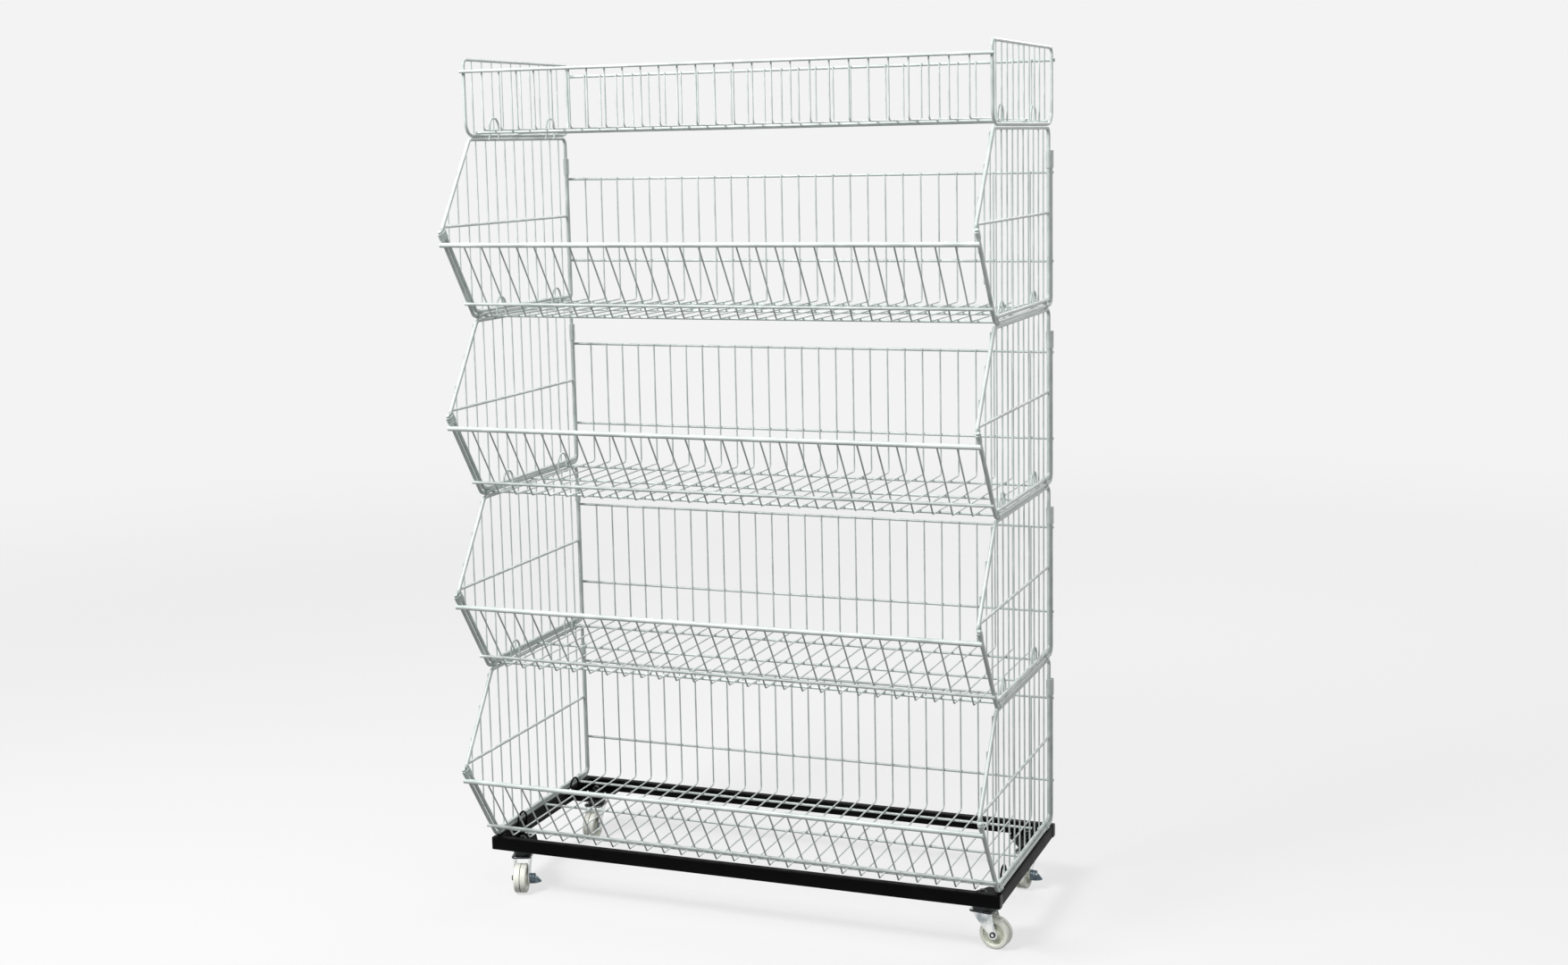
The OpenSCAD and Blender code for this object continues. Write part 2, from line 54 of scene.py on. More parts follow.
def set_node(owner, node, settings, links=None):
    """Sets a node's attributes and inputs, and joins outputs of other nodes to its inputs.

    The stops of a colour ramp are pairs of a position and a hex colour.
    """
    for key, value in settings.items():
        if key == "stops":
            for stop, (position, colour) in zip(node.color_ramp.elements, value):
                stop.position, stop.color = position, hex_colour(colour)
        elif isinstance(key, str) and hasattr(node, key) and key not in node.inputs:
            setattr(node, key, value)
        else:
            node.inputs[key].default_value = value
    for key, output in (links or {}).items():
        owner.node_tree.links.new(output, node.inputs[key])
    return node


def add_node(owner, kind, settings=None, links=None):
    """Adds a shader node with its settings and links to a material or to the world."""
    return set_node(owner, owner.node_tree.nodes.new(kind), settings or {}, links)


def new_finish(name):
    """A new material, its surface shader and the coordinates that its patterns follow."""
    finish = bpy.data.materials.new(name)
    finish.use_nodes = True
    where = add_node(finish, "ShaderNodeTexCoord").outputs["Object"]
    return finish, finish.node_tree.nodes["Principled BSDF"], where


# Black epoxy powder coat, stoved: nearly black and satin, a little greyer where dust lies in
# patches of 45 mm. The orange peel is drawn 3 mm wide, coarser than the real 1 mm.
black_coat, surface, where = new_finish("black_powder_coat")
dust = add_node(black_coat, "ShaderNodeTexNoise",
                {"Scale": 22.0, "Detail": 5.0, "Roughness": 0.6}, {"Vector": where})
dusty = add_node(black_coat, "ShaderNodeValToRGB",
                 {"stops": ((0.35, "#020202"), (0.85, "#090909"))}, {"Fac": dust.outputs["Fac"]})
sheen = add_node(black_coat, "ShaderNodeMapRange", {"To Min": 0.38, "To Max": 0.55},
                 {"Value": dust.outputs["Fac"]})
peel = add_node(black_coat, "ShaderNodeTexNoise", {"Scale": 330.0, "Detail": 2.0},
                {"Vector": where})
peel_bump = add_node(black_coat, "ShaderNodeBump", {"Strength": 0.12, "Distance": 0.0003},
                     {"Height": peel.outputs["Fac"]})
set_node(black_coat, surface, {"IOR": 1.5, "Specular IOR Level": 0.05},
         {"Base Color": dusty.outputs["Color"], "Roughness": sheen.outputs["Result"],
          "Normal": peel_bump.outputs["Normal"]})


def take(piece):
    """Selects this piece alone and makes it the active one."""
    bpy.ops.object.select_all(action="DESELECT")
    piece.select_set(True)
    bpy.context.view_layer.objects.active = piece


def place_in_mesh(piece):
    """Puts the object's place, turn and scale into its mesh, so that it sits at the origin."""
    take(piece)
    bpy.ops.object.transform_apply(location=True, rotation=True, scale=True)


def join_pieces(parts, name):
    """Joins the parts to one mesh object with the given name."""
    take(parts[0])
    for part in parts:
        part.select_set(True)
    if len(parts) > 1:
        bpy.ops.object.join()
    parts[0].name = parts[0].data.name = name
    return parts[0]


def smooth(piece, degrees=35):
    """Shades the piece smooth where its faces meet at less than the angle."""
    take(piece)
    bpy.ops.object.shade_smooth_by_angle(angle=math.radians(degrees))


def select_only(piece, kind, wanted):
    """In edit mode, selects only the verts, edges or faces that are wanted."""
    bpy.ops.mesh.select_all(action="DESELECT")
    shape = bmesh.from_edit_mesh(piece.data)
    for item in getattr(shape, kind):
        if wanted(item):
            item.select_set(True)
    bmesh.update_edit_mesh(piece.data)


def round_edges(piece, wanted, width, segments):
    """In edit mode, rounds only the edges that are wanted."""
    select_only(piece, "edges", wanted)
    bpy.ops.mesh.bevel(offset=width, segments=segments, affect="EDGES")


def edge_run(edge):
    """The way from one end of an edge to the other."""
    return edge.verts[1].co - edge.verts[0].co


tube_wide, tube_round = 0.0155, 0.0022
rail_low, rail_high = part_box("base_long_rails")
rail_y, rail_z = rail_high.y - tube_wide / 2, (rail_low.z + rail_high.z) / 2
rail_long, rail_tall = rail_high.x - rail_low.x, rail_high.z - rail_low.z
end_low, end_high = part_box("base_end_rails")
end_x, end_z = end_high.x - tube_wide / 2, (end_low.z + end_high.z) / 2
end_long, end_tall = end_high.y - end_low.y, end_high.z - end_low.z
lengths = [((0, side * rail_y, rail_z), (rail_long, tube_wide, rail_tall)) for side in (-1, 1)]
lengths += [((side * end_x, 0, end_z), (tube_wide, end_long, end_tall)) for side in (-1, 1)]
tubes = []
for middle, size in lengths:
    bpy.ops.object.select_all(action="DESELECT")
    bpy.ops.mesh.primitive_cube_add(size=1, location=middle, scale=size)
    tube = bpy.context.active_object
    place_in_mesh(tube)
    along = 0 if size[0] > size[1] else 1
    bpy.ops.object.mode_set(mode="EDIT")
    round_edges(tube, lambda edge: abs(edge_run(edge)[along]) > size[along] / 2, tube_round, 4)
    bpy.ops.object.mode_set(mode="OBJECT")
    tubes.append(tube)
base_tubes = join_pieces(tubes, "base_tubes")
smooth(base_tubes)
base_tubes.data.materials.append(black_coat)
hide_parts("base_long_rails", "base_end_rails")
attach(base_tubes, "base")

# Weld seams: a bead of weld runs round each end of the short tubes where it meets the long
# one, coated over in black with the frame.
bead_r, bead_in = 0.0011, 0.0006
seams = []
for side in (-1, 1):
    for end in (-1, 1):
        bpy.ops.object.select_all(action="DESELECT")
        bpy.ops.mesh.primitive_plane_add(size=1, rotation=(math.pi / 2, 0, 0),
                                         location=(side * end_x, end * end_high.y, end_z))
        seam = bpy.context.active_object
        seam.scale = (tube_wide - 2 * bead_in, end_tall - 2 * bead_in, 1)
        place_in_mesh(seam)
        bpy.ops.object.mode_set(mode="EDIT")
        bpy.ops.mesh.select_all(action="SELECT")
        bpy.ops.mesh.bevel(offset=tube_round, segments=3, affect="VERTICES")
        bpy.ops.mesh.select_all(action="SELECT")
        bpy.ops.mesh.delete(type="ONLY_FACE")
        bpy.ops.mesh.select_all(action="SELECT")
        bpy.ops.mesh.subdivide(number_cuts=5)
        bpy.ops.object.mode_set(mode="OBJECT")
        bpy.ops.object.convert(target="CURVE")
        seam.data.bevel_depth = bead_r
        seam.data.bevel_resolution = 2
        bpy.ops.object.convert(target="MESH")
        seams.append(bpy.context.active_object)
base_welds = join_pieces(seams, "base_welds")
# the bead swells and narrows about every 6 mm, as a hand-held torch leaves it
swells, swell_share = 13, 0.22
for vertex in base_welds.data.vertices:
    turn = math.atan2(vertex.co.z - end_z, abs(vertex.co.x) - end_x)
    swell = 1 + swell_share * math.sin(turn * swells)
    seam_y = math.copysign(end_high.y, vertex.co.y)
    vertex.co.y = seam_y + (vertex.co.y - seam_y) * swell
smooth(base_welds, 60)
base_welds.data.materials.append(black_coat)
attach(base_welds, "base")

# Tube caps: black plastic plugs in the open ends of the long tubes, moulded with a raised
# middle inside a low rim.

# Moulded plastic: black and slightly matt, with a fine grain drawn 2 mm wide.
cap_plastic, surface, where = new_finish("black_moulded_plastic")
grain = add_node(cap_plastic, "ShaderNodeTexNoise", {"Scale": 500.0, "Detail": 3.0},
                 {"Vector": where})
tone = add_node(cap_plastic, "ShaderNodeMix",
                {"data_type": "RGBA", 6: hex_colour("#111112"), 7: hex_colour("#1D1D1E")},
                {0: grain.outputs["Fac"]})
grain_bump = add_node(cap_plastic, "ShaderNodeBump", {"Strength": 0.2, "Distance": 0.0002},
                      {"Height": grain.outputs["Fac"]})
set_node(cap_plastic, surface, {"Roughness": 0.5, "IOR": 1.46},
         {"Base Color": tone.outputs[2], "Normal": grain_bump.outputs["Normal"]})

cap_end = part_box("tube_caps")[1].x
cap_thick, cap_gap, rim_wide, rim_fall = 0.0015, 0.0002, 0.0014, 0.0007
caps = []
for side in (-1, 1):
    for end in (-1, 1):
        bpy.ops.object.select_all(action="DESELECT")
        bpy.ops.mesh.primitive_cube_add(
            size=1, location=(side * (cap_end - cap_thick / 2), end * rail_y, rail_z),
            scale=(cap_thick, tube_wide - 2 * cap_gap, rail_tall - 2 * cap_gap))
        cap = bpy.context.active_object
        place_in_mesh(cap)
        bpy.ops.object.mode_set(mode="EDIT")
        round_edges(cap, lambda edge: abs(edge_run(edge).x) > cap_thick / 2, tube_round, 4)
        select_only(cap, "faces", lambda face: face.normal.x * side > 0.9)
        bpy.ops.mesh.inset(thickness=rim_wide, depth=0.0)
        # the rim falls back a little, which leaves the middle of the cap proud
        shape = bmesh.from_edit_mesh(cap.data)
        for vertex in shape.verts:
            if vertex.co.x * side > cap_end - 0.0001 and not vertex.select:
                vertex.co.x -= side * rim_fall
        bmesh.update_edit_mesh(cap.data)
        bpy.ops.object.mode_set(mode="OBJECT")
        caps.append(cap)
tube_caps = join_pieces(caps, "tube_end_caps")
smooth(tube_caps, 40)
tube_caps.data.materials.append(cap_plastic)
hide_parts("tube_caps")
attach(tube_caps, "base")

# Corner plates and locating loops: 4 mm steel plates between the tubes that carry the
# casters, and bent 4 mm rods that the lowest basket drops over. Both are coated with the frame.


def finish_nodes(names, finish):
    """Gives the modelled parts with these names their finish."""
    for name in names:
        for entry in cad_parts[name].material_slots:
            entry.material = finish


finish_nodes(("corner_plates", "base_loops"), black_coat)

# Swivel heads: the upper ball race is pressed black steel with a rolled lip. The stem goes up
# through the corner plate and is held by a washer and hexagon nut, all dark with oil.

# Oiled black steel: half metallic, with the oil glossier in patches of 11 mm.
race_steel, surface, where = new_finish("oiled_black_steel")
mottle = add_node(race_steel, "ShaderNodeTexNoise", {"Scale": 90.0, "Detail": 4.0},
                  {"Vector": where})
tone = add_node(race_steel, "ShaderNodeMix",
                {"data_type": "RGBA", 6: hex_colour("#1A1B1C"), 7: hex_colour("#34373A")},
                {0: mottle.outputs["Fac"]})
oil = add_node(race_steel, "ShaderNodeMapRange", {"To Min": 0.18, "To Max": 0.4},
               {"Value": mottle.outputs["Fac"]})
set_node(race_steel, surface, {"Metallic": 0.6},
         {"Base Color": tone.outputs[2], "Roughness": oil.outputs["Result"]})

race_r = 0.022
plate_thick, washer_thick, nut_tall, nut_r = 0.004, 0.002, 0.008, 0.0088
stem_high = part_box("caster_stems")[1]
stem_x, stem_y = stem_high.x - race_r, stem_high.y - race_r
plate_top = rail_low.z + plate_thick
corners = {"fl": (-1, -1), "fr": (1, -1), "rl": (-1, 1), "rr": (1, 1)}


def add_bevel(piece, width, segments, degrees=30):
    """Rounds the edges that are sharper than the angle with a bevel modifier and applies it."""
    bpy.context.view_layer.objects.active = piece
    bevel = piece.modifiers.new("round", "BEVEL")
    bevel.width = width
    bevel.segments = segments
    bevel.limit_method = "ANGLE"
    bevel.angle_limit = math.radians(degrees)
    bpy.ops.object.modifier_apply(modifier=bevel.name)


def turned(name, profile, centre, segments=64):
    """A solid turned round an upright axis: the closed profile is (radius, height) points."""
    bpy.ops.object.select_all(action="DESELECT")
    bpy.ops.mesh.primitive_plane_add(size=0.01, location=(0, 0, 0))
    piece = bpy.context.active_object
    piece.name = name
    bpy.ops.object.mode_set(mode="EDIT")
    shape = bmesh.from_edit_mesh(piece.data)
    bmesh.ops.delete(shape, geom=list(shape.verts), context="VERTS")
    ring = [shape.verts.new((r, 0, z)) for r, z in profile]
    for i in range(len(ring)):
        shape.edges.new((ring[i], ring[(i + 1) % len(ring)]))
    for vertex in shape.verts:
        vertex.select_set(True)
    shape.select_flush(True)
    bmesh.update_edit_mesh(piece.data)
    bpy.ops.mesh.spin(steps=segments, angle=2 * math.pi, center=(0, 0, 0), axis=(0, 0, 1))
    bpy.ops.mesh.select_all(action="SELECT")
    bpy.ops.mesh.remove_doubles(threshold=0.00001)
    bpy.ops.mesh.normals_make_consistent(inside=False)
    bpy.ops.object.mode_set(mode="OBJECT")
    piece.location = centre
    place_in_mesh(piece)
    return piece


race_profile = [(0.0053, 0.0818), (0.0185, 0.0818), (0.0192, 0.0815), (0.0205, 0.0817),
                (0.0215, 0.0824), (race_r, 0.0833), (race_r, 0.0845), (0.0213, 0.0854),
                (0.0203, 0.0859), (0.0053, 0.0859)]
washer_low, washer_high = plate_top + 0.00005, plate_top + washer_thick - 0.00005
washer_profile = [(0.0052, washer_low), (0.0098, washer_low), (0.010, washer_low + 0.00025),
                  (0.010, washer_high - 0.00025), (0.0098, washer_high), (0.0052, washer_high)]
# the plain stem, and its thread above the nut as eight fine ridges; round parts without a bore
# are turned with a hair-thin one of 0.2 mm radius
hair, thread_from, thread_pitch = 0.0002, 0.0982, 0.00072
stem_profile = [(hair, 0.0650), (0.0049, 0.0650), (0.0049, 0.0980)]
for ridge in range(8):
    height = thread_from + ridge * thread_pitch
    stem_profile += [(0.0050, height), (0.0045, height + thread_pitch / 2)]
stem_profile += [(0.0040, 0.104), (hair, 0.104)]
rivet_profile = [(hair, 0.0617), (0.0060, 0.0617), (0.0075, 0.0626), (0.0080, 0.0640),
                 (0.0080, 0.0656), (hair, 0.0656)]
races, nuts = [], []
for sx, sy in corners.values():
    centre = (sx * stem_x, sy * stem_y, 0)
    races.append(turned("race", race_profile, centre))
    # each nut was tightened to a turn of its own
    bpy.ops.object.select_all(action="DESELECT")
    bpy.ops.mesh.primitive_cylinder_add(
        vertices=6, radius=nut_r, depth=nut_tall, rotation=(0, 0, 0.35 * sx + 0.2 * sy),
        location=(centre[0], centre[1], plate_top + washer_thick + nut_tall / 2))
    nut = bpy.context.active_object
    place_in_mesh(nut)
    add_bevel(nut, 0.0007, 2)
    nuts.append(nut)
    nuts.append(turned("washer", washer_profile, centre))
    nuts.append(turned("stem", stem_profile, centre, 24))
    nuts.append(turned("rivet", rivet_profile, centre, 32))
upper_races = join_pieces(races, "upper_races")
smooth(upper_races)
upper_races.data.materials.append(race_steel)
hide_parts("caster_stems")
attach(upper_races, "base")
stem_nuts = join_pieces(nuts, "stem_nuts")
smooth(stem_nuts)
stem_nuts.data.materials.append(race_steel)
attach(stem_nuts, "base")

# Caster forks: pressed from 2.5 mm sheet and zinc plated. The two cheeks narrow to round
# bosses at the axle and carry a pressed rib, and the lower race sits on the crown as a black cup.

# Bright zinc plate, clear passivated: pale, faintly blue, with soft clouds of 22 mm. The
# upright rolling marks are drawn 2 mm apart, coarser than the real ones.
zinc_plate, surface, where = new_finish("bright_zinc_plate")
clouds = add_node(zinc_plate, "ShaderNodeTexNoise", {"Scale": 45.0, "Detail": 5.0},
                  {"Vector": where})
shades = add_node(zinc_plate, "ShaderNodeValToRGB",
                  {"stops": ((0.38, "#9EA6A7"), (0.56, "#F0F2F0"))}, {"Fac": clouds.outputs["Fac"]})
gloss = add_node(zinc_plate, "ShaderNodeMapRange", {"To Min": 0.2, "To Max": 0.42},
                 {"Value": clouds.outputs["Fac"]})
upright = add_node(zinc_plate, "ShaderNodeMapping", {"Scale": (1.0, 1.0, 0.12)},
                   {"Vector": where})
marks = add_node(zinc_plate, "ShaderNodeTexNoise", {"Scale": 500.0, "Detail": 2.0},
                 {"Vector": upright.outputs["Vector"]})
marks_bump = add_node(zinc_plate, "ShaderNodeBump", {"Strength": 0.15, "Distance": 0.0002},
                      {"Height": marks.outputs["Fac"]})
set_node(zinc_plate, surface, {"Metallic": 1.0},
         {"Base Color": shades.outputs["Color"], "Roughness": gloss.outputs["Result"],
          "Normal": marks_bump.outputs["Normal"]})

swivel = {"fl": -72, "fr": -9, "rl": -86, "rr": -95}
trail, axle_z, boss_r = 0.026, 0.028, 0.0085
sheet, cheek_out, cheek_top, cheek_front, cheek_back = 0.0025, 0.0158, 0.0675, -0.0165, 0.0225


def placed(piece, corner):
    """Turns a piece made in a caster's own frame, trail along +X, to its corner."""
    sx, sy = corners[corner]
    piece.data.transform(Matrix.Translation((sx * stem_x, sy * stem_y, 0))
                         @ Matrix.Rotation(math.radians(swivel[corner]), 4, "Z"))
    piece.data.update()


def from_axle(x, z):
    """How far a point of a fork or wheel lies from the middle of the axle, seen from the side."""
    return math.hypot(x - trail, z - axle_z)


def cheek_edges(z):
    """Front and back edge of a cheek at the height z, from the crown down round the boss."""
    if z <= axle_z:
        reach = math.sqrt(boss_r ** 2 - (z - axle_z) ** 2)
        return trail - reach, trail + reach
    share = (z - axle_z) / (cheek_top - axle_z)
    return (trail - boss_r + share * (cheek_front - trail + boss_r),
            trail + boss_r + share * (cheek_back - trail - boss_r))


def ease(value, low, high):
    """Rises softly from 0 at low to 1 at high."""
    share = min(1.0, max(0.0, (value - low) / (high - low)))
    return share * share * (3 - 2 * share)


rows = [cheek_top, 0.064, 0.060, 0.056, 0.052, 0.048, 0.044, 0.040, 0.036, 0.032, 0.028, 0.0255,
        0.0235, 0.0220, 0.0208, 0.0201, 0.01965]
rib_proud, boss_sunk = 0.0009, 0.0003
cheeks = []
for side in (-1, 1):
    bpy.ops.object.select_all(action="DESELECT")
    bpy.ops.mesh.primitive_grid_add(x_subdivisions=12, y_subdivisions=len(rows) - 1, size=1)
    cheek = bpy.context.active_object
    for vertex in cheek.data.vertices:
        across = vertex.co.x + 0.5
        z = rows[round((0.5 - vertex.co.y) * (len(rows) - 1))]
        front, back = cheek_edges(z)
        x = front + across * (back - front)
        inner = min(across, 1 - across) * (back - front)
        rib = ease(inner, 0.0035, 0.0065) * ease(z, 0.042, 0.046) * (1 - ease(z, 0.060, 0.064))
        boss = 1 - ease(from_axle(x, z), 0.006, 0.0072)
        vertex.co = (x, side * (cheek_out + rib_proud * rib - boss_sunk * boss), z)
    # the grid now looks towards -Y, so the cheek at +Y is turned to face outwards
    if side > 0:
        cheek.data.flip_normals()
    wall = cheek.modifiers.new("wall", "SOLIDIFY")
    wall.thickness = sheet
    wall.offset = -1
    bpy.ops.object.modifier_apply(modifier=wall.name)
    add_bevel(cheek, 0.0006, 2, 50)
    cheeks.append(cheek)
# crown: the pressed top with its turned-down rim and rounded corners
crown_low, crown_high, crown_x, crown_long, crown_wide = 0.0660, 0.0698, 0.0035, 0.047, 0.039
bpy.ops.object.select_all(action="DESELECT")
bpy.ops.mesh.primitive_cube_add(size=1, location=(crown_x, 0, (crown_low + crown_high) / 2),
                                scale=(crown_long, crown_wide, crown_high - crown_low))
crown = bpy.context.active_object
place_in_mesh(crown)
bpy.ops.object.mode_set(mode="EDIT")
round_edges(crown, lambda edge: abs(edge_run(edge).z) > 0.002, 0.008, 6)
round_edges(crown, lambda edge: all(v.co.z > crown_high - 0.0003 for v in edge.verts), 0.0012, 3)
round_edges(crown, lambda edge: all(v.co.z < crown_low + 0.0002 for v in edge.verts), 0.0006, 2)
bpy.ops.object.mode_set(mode="OBJECT")
fork_blank = join_pieces(cheeks + [crown], "fork_blank")
smooth(fork_blank, 40)
fork_blank.data.materials.append(zinc_plate)
# a second slot of dark oiled steel, for the painted shade on the side of the crown
fork_blank.data.materials.append(race_steel)
# the side of the crown is given the dark oiled steel as painted shade, between its bright zinc
# edges
for face in fork_blank.data.polygons:
    spot = face.center
    shade_painted_rim = abs(spot.y) > 0.0174 or not -0.0174 < spot.x < 0.0236
    if shade_painted_rim and spot.z > crown_low - 0.0005 and abs(face.normal.z) < 0.3:
        face.material_index = 1
cup_profile = [(0.0053, 0.0697), (0.0184, 0.0697), (0.0184, 0.0715), (0.0182, 0.0745),
               (0.0182, 0.0775), (0.0178, 0.0793), (0.0170, 0.0805), (0.0155, 0.0810),
               (0.0053, 0.0810)]
cup_blank = turned("cup_blank", cup_profile, (0, 0, 0))
smooth(cup_blank)
cup_blank.data.materials.append(race_steel)


def copy_of(blank, name):
    """A copy of the blank with a mesh of its own."""
    twin = blank.copy()
    twin.data = blank.data.copy()
    twin.name = twin.data.name = name
    bpy.context.scene.collection.objects.link(twin)
    return twin


for corner in corners:
    fork = copy_of(fork_blank, "fork_" + corner + "_pressed")
    placed(fork, corner)
    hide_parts("fork_" + corner)
    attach(fork, "caster_" + corner)
    cup = copy_of(cup_blank, "lower_race_" + corner)
    placed(cup, corner)
    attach(cup, "caster_" + corner)
bpy.data.objects.remove(fork_blank)
bpy.data.objects.remove(cup_blank)

# Axles: a plain bolt with a dark ring head on one side and, where there is no brake, a
# hexagon nut on the other. The bright end of the bolt shows in the middle of the ring.
braked = ("fl", "rr")
head = -cheek_out
along_axle = Matrix.Translation((trail, 0, axle_z)) @ Matrix.Rotation(-math.pi / 2, 4, "X")
ring_profile = [(0.0032, head - 0.0010), (0.0034, head - 0.0026), (0.0038, head - 0.0030),
                (0.0045, head - 0.0030), (0.0050, head - 0.0025), (0.0052, head - 0.0015),
                (0.0052, head - 0.0001), (0.0032, head - 0.0001)]
for corner in corners:
    end = 0.0274 if corner in braked else cheek_out
    bolt_profile = [(hair, head - 0.0012), (0.0026, head - 0.0012), (0.0031, head - 0.0008),
                    (0.0031, head + 0.004), (0.0040, head + 0.004), (0.0040, end + 0.0006),
                    (0.0036, end + 0.0010), (hair, end + 0.0010)]
    bolt = turned("bolt", bolt_profile, (0, 0, 0), 32)
    bolt.data.materials.append(zinc_plate)
    ring = turned("ring", ring_profile, (0, 0, 0), 40)
    ring.data.materials.append(race_steel)
    if corner in braked:
        tail = turned("tail", [(0.0041, end), (0.0048, end), (0.0048, end + 0.0014),
                               (0.0044, end + 0.0018), (0.0041, end + 0.0018)], (0, 0, 0), 32)
    else:
        bpy.ops.object.select_all(action="DESELECT")
        bpy.ops.mesh.primitive_cylinder_add(vertices=6, radius=0.0069, depth=0.0038,
                                            location=(0, 0, end + 0.0020))
        tail = bpy.context.active_object
        place_in_mesh(tail)
        add_bevel(tail, 0.0006, 2)
    tail.data.materials.append(zinc_plate)
    axle = join_pieces([bolt, ring, tail], "axle_" + corner + "_bolt")
    # the turned parts stand upright, so they are laid along the axle
    axle.data.transform(along_axle)
    placed(axle, corner)
    smooth(axle)
    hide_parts("axle_" + corner)
    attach(axle, "caster_" + corner)

# Wheels: moulded nylon, 56 mm across, with a fine parting groove round the tread, a raised
# rim band and a recessed side web in a greyer colour.

# Moulded nylon: ivory and slightly translucent, in soft streaks of 17 mm, with a faint bump
# of 2.4 mm from handling.
nylon, surface, where = new_finish("moulded_nylon")
flow = add_node(nylon, "ShaderNodeTexNoise", {"Scale": 60.0, "Detail": 4.0}, {"Vector": where})
tone = add_node(nylon, "ShaderNodeMix",
                {"data_type": "RGBA", 6: hex_colour("#EDEFE2"), 7: hex_colour("#FAFBF3")},
                {0: flow.outputs["Fac"]})
fine = add_node(nylon, "ShaderNodeTexNoise", {"Scale": 420.0, "Detail": 2.0}, {"Vector": where})
fine_bump = add_node(nylon, "ShaderNodeBump", {"Strength": 0.15, "Distance": 0.0003},
                     {"Height": fine.outputs["Fac"]})
set_node(nylon, surface,
         {"Roughness": 0.38, "IOR": 1.53, "Subsurface Weight": 0.12,
          "Subsurface Radius": (0.004, 0.0035, 0.003), "Subsurface Scale": 0.5},
         {"Base Color": tone.outputs[2], "Normal": fine_bump.outputs["Normal"]})

# The same nylon in the recessed web: matt, greenish grey and darker than the rim, mottled in specks
# of 2 mm.
web_nylon, surface, where = new_finish("greyer_specked_nylon_web")
specks = add_node(web_nylon, "ShaderNodeTexNoise",
                  {"Scale": 480.0, "Detail": 3.0, "Roughness": 0.7}, {"Vector": where})
web_tone = add_node(web_nylon, "ShaderNodeValToRGB",
                 {"stops": ((0.36, "#BCC0AC"), (0.62, "#E0E4D3"))}, {"Fac": specks.outputs["Fac"]})
set_node(web_nylon, surface, {"Roughness": 0.55, "IOR": 1.53},
         {"Base Color": web_tone.outputs["Color"]})

# The groove of the tread: dull brown grey, darker and paler every 4 to 5 mm.
groove_tone, surface, where = new_finish("brown_grey_in_the_parting_groove")
groove_mottle = add_node(groove_tone, "ShaderNodeTexNoise", {"Scale": 220.0, "Detail": 3.0},
                {"Vector": where})
shades = add_node(groove_tone, "ShaderNodeValToRGB",
                  {"stops": ((0.35, "#45443C"), (0.7, "#8C8A7C"))}, {"Fac": groove_mottle.outputs["Fac"]})
set_node(groove_tone, surface, {"Roughness": 0.8}, {"Base Color": shades.outputs["Color"]})

wheel_r, wheel_wide, groove, band = axle_z, 0.024, 0.0007, 0.0070
# rim band, step down to the web, web, step up to the hub, hub and bore, each as the width of
# an inset and how far it stands out
side_steps = ((band, 0), (0.0012, -0.0030), (0.0045, -0.0002), (0.0010, 0.0003), (0.0044, 0),
              (0.0008, 0.0037), (0.0040, 0), (0.0006, -0.0060))
bpy.ops.object.select_all(action="DESELECT")
bpy.ops.mesh.primitive_cylinder_add(vertices=96, radius=wheel_r, depth=wheel_wide,
                                    location=(trail, 0, axle_z), rotation=(math.pi / 2, 0, 0))
wheel_blank = bpy.context.active_object
place_in_mesh(wheel_blank)
bpy.ops.object.mode_set(mode="EDIT")
for side in (-1, 1):
    select_only(wheel_blank, "faces", lambda face: face.normal.y * side > 0.9)
    for width, proud in side_steps:
        bpy.ops.mesh.inset(thickness=width, depth=proud)
# the parting groove: three rings cut round the tread, the middle one drawn in
for offset in (-groove, 0.0, groove):
    bpy.ops.mesh.select_all(action="SELECT")
    bpy.ops.mesh.bisect(plane_co=(trail, offset, axle_z), plane_no=(0, 1, 0))
tread = wheel_r - 0.0005
shape = bmesh.from_edit_mesh(wheel_blank.data)
for vertex in shape.verts:
    if from_axle(vertex.co.x, vertex.co.z) > tread and abs(vertex.co.y) < 0.0002:
        vertex.co.x = trail + (vertex.co.x - trail) * (wheel_r - groove) / wheel_r
        vertex.co.z = axle_z + (vertex.co.z - axle_z) * (wheel_r - groove) / wheel_r
bmesh.update_edit_mesh(wheel_blank.data)
round_edges(wheel_blank,
            lambda edge: all(from_axle(v.co.x, v.co.z) > tread
                             and abs(v.co.y) > wheel_wide / 2 - 0.0005 for v in edge.verts),
            0.0030, 5)
bpy.ops.object.mode_set(mode="OBJECT")
for finish in (nylon, web_nylon, groove_tone):
    wheel_blank.data.materials.append(finish)
for face in wheel_blank.data.polygons:
    reach = from_axle(face.center.x, face.center.z)
    if abs(face.normal.y) > 0.5 and 0.0100 < reach < wheel_r - band - 0.0002:
        face.material_index = 1
    if reach > wheel_r - 0.0015 and abs(face.center.y) < groove - 0.0001:
        face.material_index = 2
smooth(wheel_blank, 32)
for corner in corners:
    wheel = copy_of(wheel_blank, "wheel_" + corner + "_moulded")
    placed(wheel, corner)
    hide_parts("wheel_" + corner)
    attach(wheel, "wheel_" + corner)
bpy.data.objects.remove(wheel_blank)

# Brake levers: pressed as a round collar on the axle end with a beak that the foot presses
# down. Only the front left and the rear right caster have one.

# Blue-grey plated steel: dull and half metallic, rubbed brighter in patches of 7 mm.
lever_steel, surface, where = new_finish("blue_grey_plated_steel")
patches = add_node(lever_steel, "ShaderNodeTexNoise", {"Scale": 150.0, "Detail": 4.0},
                   {"Vector": where})
shades = add_node(lever_steel, "ShaderNodeValToRGB",
                  {"stops": ((0.3, "#38454C"), (0.75, "#72828A"))}, {"Fac": patches.outputs["Fac"]})
rub = add_node(lever_steel, "ShaderNodeMapRange", {"To Min": 0.28, "To Max": 0.5},
               {"Value": patches.outputs["Fac"]})
set_node(lever_steel, surface, {"Metallic": 0.55},
         {"Base Color": shades.outputs["Color"], "Roughness": rub.outputs["Result"]})

